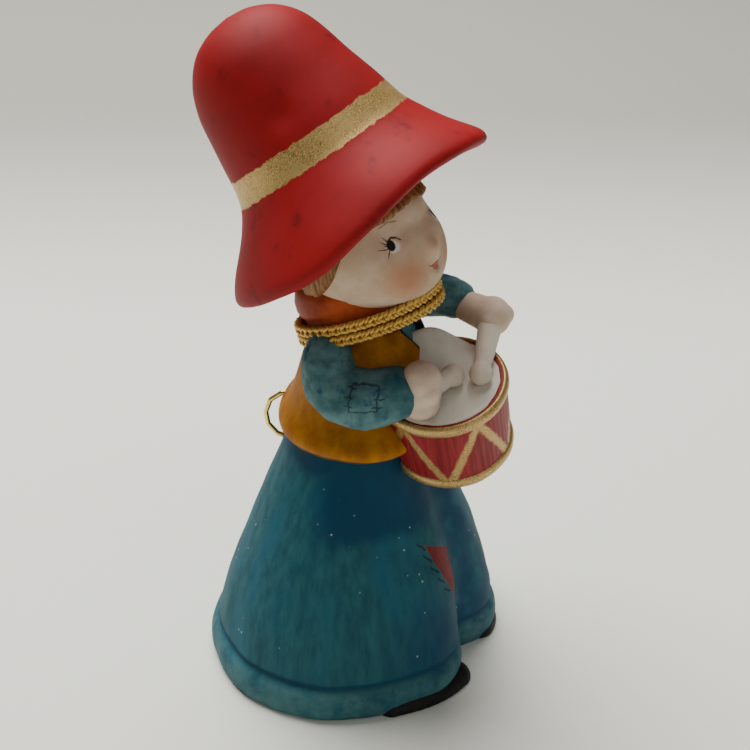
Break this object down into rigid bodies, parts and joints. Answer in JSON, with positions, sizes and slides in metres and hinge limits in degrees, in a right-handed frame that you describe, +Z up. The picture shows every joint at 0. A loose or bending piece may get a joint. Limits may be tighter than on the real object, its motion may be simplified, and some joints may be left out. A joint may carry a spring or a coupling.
{
  "type": "figurine bell",
  "caption": "Hand bell shaped as a drummer child in a floppy hat, whose baggy trousers are the bell, with a bead clapper on wire",
  "frame": {"origin": "middle of the bell's mouth, on the surface that it stands on", "axes": "+Z up through the bell to the hat, -Y is the way the child faces, +X is the child's left"},
  "size_m": [0.067, 0.0628, 0.1339],
  "materials": {
    "trouser_blue": "matt hand-painted teal-blue bisque with brush streaks",
    "shoe_black": "matt black painted bisque",
    "shirt_teal": "matt teal painted bisque",
    "vest_ochre": "matt ochre painted bisque with black trim",
    "scarf_orange": "matt rust-orange painted bisque",
    "face_bisque": "pale bisque with painted features and soft rosy cheeks",
    "hair_brown": "golden brown painted bisque with brush strokes",
    "hat_red": "matt red painted bisque with a speckled gold band",
    "hand_bisque": "pale matt bisque",
    "sleeve_teal": "matt teal-slate painted bisque with scratched stitch lines",
    "stick_cream": "pale matt bisque",
    "drum_red": "matt red painted bisque with gold zigzag ropes",
    "drum_white": "unpainted white bisque",
    "hoop_gold": "gold painted bisque, speckled",
    "cord_gold": "braided gold metallic thread",
    "wire_brass": "bright drawn brass wire",
    "wire_steel": "drawn steel wire",
    "bead_white": "unglazed white porcelain"
  },
  "bodies": {
    "figure": {"trouser_bell": "trouser_blue", "right_shoe": "shoe_black", "left_shoe": "shoe_black", "torso": "shirt_teal", "vest": "vest_ochre", "scarf": "scarf_orange", "head": "face_bisque", "hair": "hair_brown", "hat": "hat_red", "right_hand": "hand_bisque", "left_hand": "hand_bisque", "right_sleeve": "sleeve_teal", "left_sleeve": "sleeve_teal", "right_drumstick": "stick_cream", "left_drumstick": "stick_cream", "drum_shell": "drum_red", "drum_head": "drum_white", "drum_top_hoop": "hoop_gold", "drum_bottom_hoop": "hoop_gold", "neck_cord": "cord_gold", "cord_knot": "cord_gold", "hanger_wire": "wire_brass"},
    "link": {"clapper_link": "wire_steel"},
    "clapper": {"clapper_wire": "wire_steel", "clapper_bead": "bead_white", "bead_stop": "wire_steel"}
  },
  "joints": [
    {"name": "link_swing", "type": "hinge", "parent": "figure", "child": "link", "pos_m": [0, 0, 0.0446], "axis": [-0.342, 0.9397, 0], "range_deg": [-26, 26]},
    {"name": "clapper_swing", "type": "hinge", "parent": "link", "child": "clapper", "pos_m": [0, 0, 0.04168], "axis": [0.9397, 0.342, 0], "range_deg": [-26, 26]}
  ]
}
